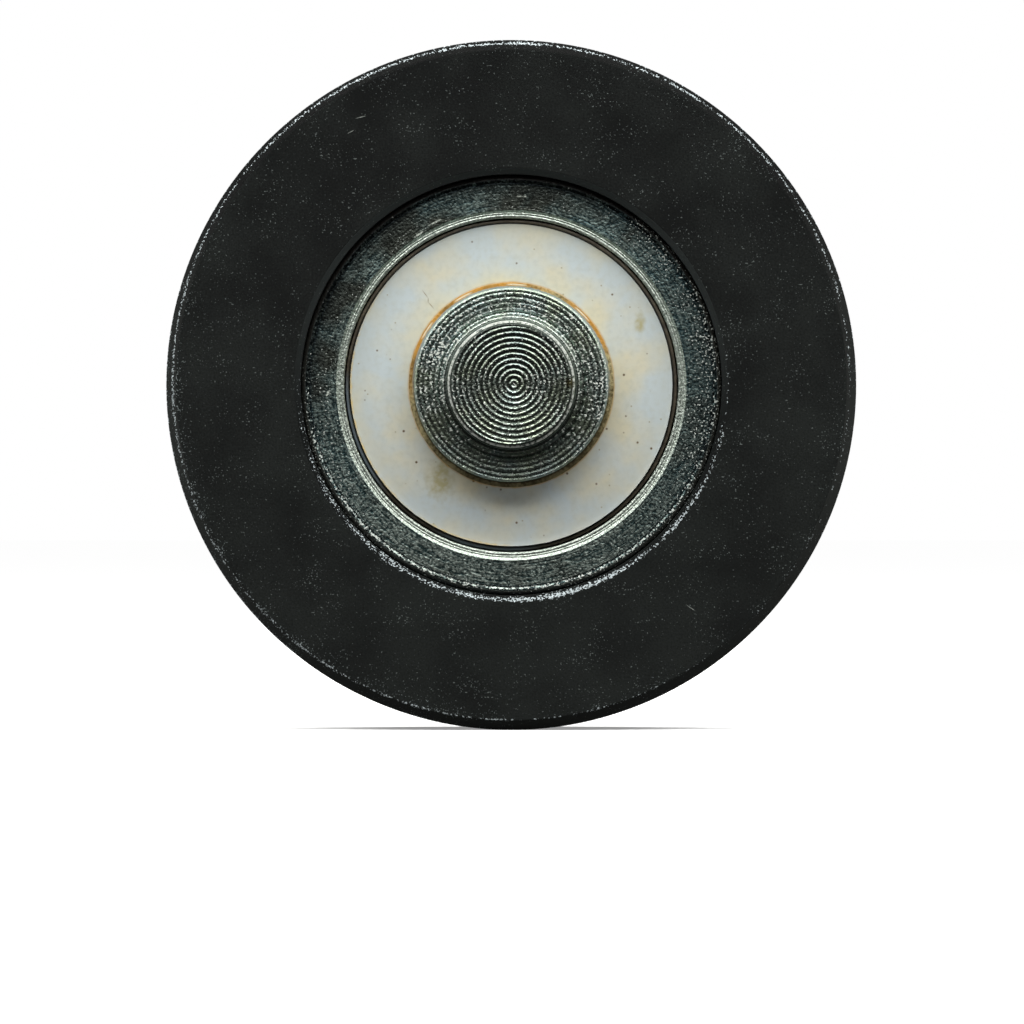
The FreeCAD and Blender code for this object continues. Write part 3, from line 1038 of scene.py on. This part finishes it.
# %% Grains of the race
SCUFFS = (
    (-6.75, -0.3, 0.16, 0.55, -0.5),
    (-2.8, 6.0, 1.0, 0.1, 0.43),
    (-3.4, 5.55, 0.7, 0.14, 0.6),
    (0.4, 6.95, 0.9, 0.1, 0.0),
)

# Painted light: pale grains on the ridge below, where the lamp lights it.
ridge_painted_light = node("MapRange", (clock(node, across, 6.4, 0.2, 0.8), 0, 1, 0, 0.14))
likely = node("MapRange", (radius, 6.6, 7.3, -0.02, 0.05))
likely = node("Math MULTIPLY_ADD", (ridge, ridge_painted_light, likely))
likely = node("Math ADD", (likely, grit))
fewer_grains_in_painted_shade = node("Math MULTIPLY", (painted_shade_top, outer))
for cause, weight in ((stain, 0.2), (fewer_grains_in_painted_shade, -0.4), (clock(node, across, 6, 0.5, 0.95), -0.07)):
    likely = node("Math MULTIPLY_ADD", (cause, weight, likely))
grains = node("MapRange", (likely, 0.78, 0.85))
colour = node("Mix", (grains, colour, "#c6ccc4"))
for x, z, width, height, turn in SCUFFS:
    scuff = node("Math MULTIPLY", (blur(node, place, x, z, width, height, turn), grain))
    scuff = node("MapRange", (scuff, 0.2, 0.45))
    grains = node("Math MAXIMUM", (grains, scuff))
    colour = node("Mix", (scuff, colour, "#b9c0b4"))
metal = node("Math SUBTRACT", (1.0, node("Math MAXIMUM", (grains, corner))))
rough = node("Mix", (rolled, node("MapRange", (grain, 0.3, 0.7, 0.28, 0.46)), 0.46))
height = node("Math MULTIPLY_ADD", (lines, 0.35, grain))
bump = node("Bump", {"Strength": 1.0, "Distance": 0.028 * MM, "Height": height})
surface(race_steel, node, Base_Color=colour, Metallic=metal, Roughness=rough, Normal=bump)
outer_race.data.materials.append(race_steel)

# %% [markdown]
# ## Zinc plate
#
# The spindle was barrel plated with zinc and dipped in clear chromate. That leaves a bright grey with a
# thin film, whose colour drifts between pale green and blue from place to place. Dirt darkens the furrows,
# and the stub's upper half is painted darker, as shade.

# %% Zinc plate
zinc_plate, node = new_material("zinc_plated_turned_steel")
place, across, radius = lathe_places(node)
facing, sunk = (node("Attribute", attribute_name=note).outputs["Fac"] for note in NOTES[1:])
crystal, film, salt = (
    node("TexNoise", {"Vector": place, "Scale": cells(size), "Detail": detail})
    for size, detail in ((0.095, 1.5), (0.9, 2), (0.075, 0.5))
)
colour = node("Mix", (node("MapRange", (film, 0.35, 0.65)), "#b4bfa9", "#a2b2ae"))
side = node("MapRange", (facing, 0.5, 0.1, 0, 0.8))
furrow = node("MapRange", (sunk, 0.006, 0.026, 0, 0.82))
on_stub = node("Math LESS_THAN", (radius, stub_radius + 0.02))
# Painted shade: the stub's upper half is darkened against the lamp above.
painted_shade_above = node("Math MULTIPLY", (clock(node, across, 12, 0.0, 0.8), on_stub))
painted_shade_above = node("Math MULTIPLY", (painted_shade_above, 0.4))
for cover, coat in ((side, "#8b9d99"), (furrow, "#3e453e"), (painted_shade_above, "#4d544d")):
    colour = node("Mix", (cover, colour, coat))
print("plate of", len(zinc_plate.node_tree.nodes), "nodes")

# %% [markdown]
# Zinc that has stood in the weather grows white salt, which breaks the rings' shine into dots. It sits on
# the crests. More is put at the sides, which is painted light, and less below the stub, which is painted
# shade. Its grains are drawn about two pixels wide, as they are too fine to show.

# %% White salt
off_rings = node("MapRange", (radius, stub_radius - 0.3, stub_radius + 0.1, -0.02, 0))
crests = node("MapRange", (sunk, 0.004, 0.016, 0.035, -0.03))
# Painted light at the sides and painted shade below the stub.
painted_light_sides = node("Math MAXIMUM", [clock(node, across, hours, 0.3, 0.9) for hours in (3, 9)])
painted_shade_below_stub = node("Math SUBTRACT", (clock(node, across, 6.3, 0.3, 0.8), on_stub), use_clamp=True)
for cause, weight in ((film, 0.25), (off_rings, 1.0), (crests, 1.0), (painted_light_sides, 0.05), (painted_shade_below_stub, -0.045)):
    salt = node("Math MULTIPLY_ADD", (cause, weight, salt))
salt = node("MapRange", (salt, 0.775, 0.845))
salt = node("Math MULTIPLY", (salt, node("MapRange", (facing, 0.2, 0.7, 0.2, 1))))
print("salt by five causes")

# %% [markdown]
# The stub's chamfer is painted dark, as shade, but for one painted highlight line. The fillet at the stub's
# root is painted dark too, as shade, and a painted highlight lies above on the step outside it. A drop of
# rust and a scratch finish the end.

# %% Lines and spots of the spindle
SPOTS = ((2.13, 0.05, 0.45, 0.5, "#5f5428"), (1.09, -2.91, 0.07, 0.8, "#e3e6da"))
HIGHLIGHT_LINE_INSET, HIGHLIGHT_STEP_OUT, HIGHLIGHT_STEP_WIDTH = 0.09, 0.13, 0.022

slanted = node("Math COMPARE", (facing, SLANT, SLANT_SPREAD))
chamfer = node("Math MULTIPLY", (slanted, on_stub))
# Painted highlight: one pale line round the chamfer; the rest of the chamfer is painted dark.
line = node("Math ABSOLUTE", (node("Math SUBTRACT", (radius, stub_radius - HIGHLIGHT_LINE_INSET)),))
line = node("Math MULTIPLY", (node("MapRange", (line, 0.05, 0.025)), chamfer))
half_root = STUB_ROOT_RADIUS / 2
# Painted shade: the fillet at the stub's root is darkened.
fillet_painted_shade = node("Math COMPARE", (radius, stub_radius + half_root, half_root))
dull = node("Math MAXIMUM", (node("Math SUBTRACT", (chamfer, line)), fillet_painted_shade))
dull = node("Math MULTIPLY", (dull, 0.9))
colour = node("Mix", (dull, colour, "#343a35"))
salt = node("Math MULTIPLY", (salt, node("Math SUBTRACT", (1.0, dull))))
# Painted highlight: a pale line on the step outside the fillet, above.
step = node("Math COMPARE", (radius, stub_radius + HIGHLIGHT_STEP_OUT, HIGHLIGHT_STEP_WIDTH))
step = node("Math MULTIPLY", (step, clock(node, across, 12, -0.3, 0.4)))
unbroken = node("MapRange", (crystal, 0.36, 0.5, 0, 0.8))
line = node("Math MULTIPLY", (node("Math MAXIMUM", (line, step)), unbroken))
salt = node("Math MAXIMUM", (salt, line))
for x, z, width, height, tint in SPOTS:
    spot = node("Math MULTIPLY", (blur(node, place, x, z, width, height), 0.75))
    colour = node("Mix", (spot, colour, tint))
colour = node("Mix", (salt, colour, "#dde1d7"))
metal = node("Math SUBTRACT", (1.0, salt))
rough = node("Mix", (slanted, node("MapRange", (facing, 0.5, 0.9, 0.52, 0.26)), 0.5))
rough = node("Math ADD", (rough, node("MapRange", (crystal, 0.3, 0.7, -0.05, 0.08))))
height = node("Math MULTIPLY", (crystal, node("MapRange", (facing, 0.2, 0.8, 0.25, 1))))
bump = node("Bump", {"Strength": 1.0, "Distance": 0.026 * MM, "Height": height})
surface(zinc_plate, node, Base_Color=colour, Metallic=metal, Roughness=rough, Normal=bump)
spindle.data.materials.append(zinc_plate)

# %% [markdown]
# ## White nylon
#
# The retainer is moulded nylon, once white. It has yellowed in patches, taken rust at its bore and grease
# at its rim, and picked up brown specks, two smears and a hairline crack. Towards its rim it is painted a
# little darker, as shade. Nylon lets a little light in, so it looks soft, with a weak broad shine.

# %% White nylon
SMEARS = ((-2.6, -3.45, 1.6, 2.2), (4.75, 2.3, 0.6, 1.2))
CRACK = ((-3.17, 3.35, 0.45, 0.05, -0.93), (-3.06, 3.12, 0.05, 0.24, 0.0), (-2.95, 2.93, 0.4, 0.05, -0.85))

white_nylon, node = new_material("moulded_white_nylon")
place, across, radius = lathe_places(node)
cloud = node("TexNoise", {"Vector": place, "Scale": cells(1.7), "Detail": 3.0})
fine = node("TexNoise", {"Vector": place, "Scale": cells(0.22), "Detail": 3.0})
cream = node("Math ADD", (cloud, node("MapRange", (radius, 5.2, 3.9, 0, 0.14))))
colour = node("Mix", (node("MapRange", (cream, 0.42, 0.72)), "#c4cece", "#d5cfb4"))
# Painted shade: the nylon is greyed towards its rim, beside the race's lip.
painted_shade_rim = node("MapRange", (radius, 4.9, 5.9, 0, 0.3))
mottle = node("MapRange", (fine, 0.45, 0.75, 0, 0.3))
flecks = node("Math MULTIPLY", (specks(node, place, 0.36, 0.07, 0.4), 0.6))
dots = specks(node, place, 0.5, 0.1, 0.45)
rim = node("Math MULTIPLY", (node("MapRange", (radius, 5.78, 5.9)), fine))
rim = node("MapRange", (rim, 0.3, 0.65, 0, 0.75))
sides = node("Math MAXIMUM", (clock(node, across, 8.6, 0.5, 0.95), clock(node, across, 6.6, 0.94, 0.98)))
rim = node("Math MULTIPLY", (rim, sides))
coats = [(painted_shade_rim, "#9a9e92"), (mottle, "#aeb0a0"), (flecks, "#8d7f50"), (dots, "#5f4c2e"), (rim, "#cfb163")]
for x, z, width, height in SMEARS:
    smear = node("Math MULTIPLY", (blur(node, place, x, z, width, height), fine))
    coats.append((node("MapRange", (smear, 0.1, 0.55, 0, 0.75)), "#a79b62"))
bore = node("Math MULTIPLY", (node("MapRange", (radius, 3.86, 3.76)), node("Math ADD", (fine, 0.4))))
coats.append((node("MapRange", (bore, 0.2, 0.9, 0, 0.85)), "#c8a155"))
front = node("Math LESS_THAN", (node("SeparateXYZ", (place,)).outputs["Y"], 0.0))
for x, z, width, height, turn in CRACK:
    hairline = node("Math MULTIPLY", (blur(node, place, x, z, width, height, turn), front))
    coats.append((node("Math MULTIPLY", (hairline, 0.9)), "#8f8163"))
for cover, coat in coats:
    colour = node("Mix", (cover, colour, coat))
bump = node("Bump", {"Strength": 0.4, "Distance": 0.01 * MM, "Height": fine})
surface(white_nylon, node, Base_Color=colour, Roughness=0.5, Specular_IOR_Level=0.4, Normal=bump)
for name in ("retainer_front", "retainer_rear"):
    frame["nodes"][name].material_slots[0].material = white_nylon
for face in nylon_faces:
    face.data.materials.append(white_nylon)

# %% [markdown]
# ## Balls
#
# The balls are lapped chrome steel, close to mirrors, under a smear of grease. The smear is a noise that
# makes the steel rougher and darker in patches. The balls keep their CAD meshes, as a sphere needs no
# better one.

# %% Balls
ball_steel, node = new_material("lapped_chrome_steel")
smear = node("TexNoise", {"Vector": node("TexCoord").outputs["Object"], "Scale": cells(0.8), "Detail": 3.0})
tone = node("Mix", (smear, "#a4a8ac", "#c2c4c4"))
rough = node("MapRange", (smear, 0.4, 0.7, 0.08, 0.3))
surface(ball_steel, node, Base_Color=tone, Metallic=1.0, Roughness=rough)
for name in frame["nodes"]:
    if name.startswith("ball_"):
        frame["nodes"][name].material_slots[0].material = ball_steel

# %% [markdown]
# ## Rust
#
# Rust is iron oxide with no shine at all: tan where it is old and dry, and orange where it is fresh,
# towards the top. Below, and most of all beside the shoulder, it is painted dark brown, as shade. Near the
# shoulder, above, the zinc's white bloom grows over it, which is also a painted highlight on the shoulder's
# edge, and a few short glints are painted highlights.

# %% Rust
PAINTED_GLINT_HOURS = (12.1, 11.05, 10.1, 1.5)
PAINTED_GLINT_OUT = 0.13

crevice_rust, node = new_material("iron_rust")
place, across, radius = lathe_places(node)
crumb = node("TexNoise", {"Vector": place, "Scale": cells(0.1), "Detail": 3.0})
patch = node("TexNoise", {"Vector": place, "Scale": cells(1.2), "Detail": 1.0})
age = node("MapRange", (node("Math ADD", (crumb, patch)), 0.8, 1.25))
colour = node("Mix", (age, "#5f5233", "#c4b484"))
fresh = node("Math MAXIMUM", (clock(node, across, 10.8, 0.3, 0.8), clock(node, across, 1.7, 0.9, 0.98)))
fresh = node("MapRange", (node("Math MULTIPLY", (fresh, patch)), 0.15, 0.5, 0, 0.8))
# Painted shade: the rust is darkened below, and most of all beside the shoulder, below.
wet = node("Math MULTIPLY_ADD", (crumb, 0.1, radius))
wet = node("MapRange", (wet, shoulder_radius + 0.13, shoulder_radius + 0.08, 0, 0.85))
wet = node("Math MULTIPLY", (wet, clock(node, across, 6, -0.5, 0.5)))
painted_shade_below = node("Math MULTIPLY", (clock(node, across, 6, 0.2, 0.9), 0.6))
coats = [(fresh, "#c98c35"), (wet, "#33301f"), (painted_shade_below, "#3a3626")]
# Painted highlights: short pale glints at a few hours round the rust.
middle = node("Math ABSOLUTE", (node("Math SUBTRACT", (radius, shoulder_radius + PAINTED_GLINT_OUT)),))
middle = node("MapRange", (middle, 0.04, 0.01, 0, 0.8))
for hours in PAINTED_GLINT_HOURS:
    painted_glint = node("Math MULTIPLY", (clock(node, across, hours, 0.994, 0.9985), middle))
    coats.append((painted_glint, "#efe4c8"))
# White bloom, and a painted highlight of the shoulder's edge above.
bloom_and_painted_highlight = node("Math MULTIPLY_ADD", (crumb, 0.06, radius))
bloom_and_painted_highlight = node("MapRange", (bloom_and_painted_highlight, shoulder_radius + 0.12, shoulder_radius + 0.09, 0, 0.9))
coats.append((node("Math MULTIPLY", (bloom_and_painted_highlight, clock(node, across, 12, -0.2, 0.4))), "#9aa6a4"))
for cover, coat in coats:
    colour = node("Mix", (cover, colour, coat))
bump = node("Bump", {"Strength": 1.0, "Distance": 0.03 * MM, "Height": crumb})
surface(crevice_rust, node, Base_Color=colour, Roughness=0.9, Specular_IOR_Level=0.2, Normal=bump)
for ring in rust_rings:
    ring.data.materials.append(crevice_rust)

# %% [markdown]
# ## Grime
#
# Grime is grease that has gone black with steel dust. It is brown and crumbly, wet and darkest against the
# retainer's rim, with two slate-grey patches at the lower left, which are painted sheen.

# %% Grime
packed_grime, node = new_material("packed_grease_grime")
place, across, radius = lathe_places(node)
crumb = node("TexNoise", {"Vector": place, "Scale": cells(0.2), "Detail": 3.0})
colour = node("Mix", (crumb, "#1f1b16", "#665d4d"))
# Painted sheen: two slate-grey patches at the lower left.
painted_sheen = node("Math MAXIMUM", (clock(node, across, 8.4, 0.92, 0.97), clock(node, across, 6.3, 0.94, 0.985)))
wet = node("MapRange", (radius, retainer_rim + 0.1, retainer_rim + 0.04, 0, 0.9))
for cover, coat in ((painted_sheen, "#6a757c"), (wet, "#120f0b")):
    colour = node("Mix", (cover, colour, coat))
bump = node("Bump", {"Strength": 1.0, "Distance": 0.03 * MM, "Height": crumb})
surface(packed_grime, node, Base_Color=colour, Roughness=0.45, Specular_IOR_Level=0.4, Normal=bump)
for ring in grime_rings:
    ring.data.materials.append(packed_grime)
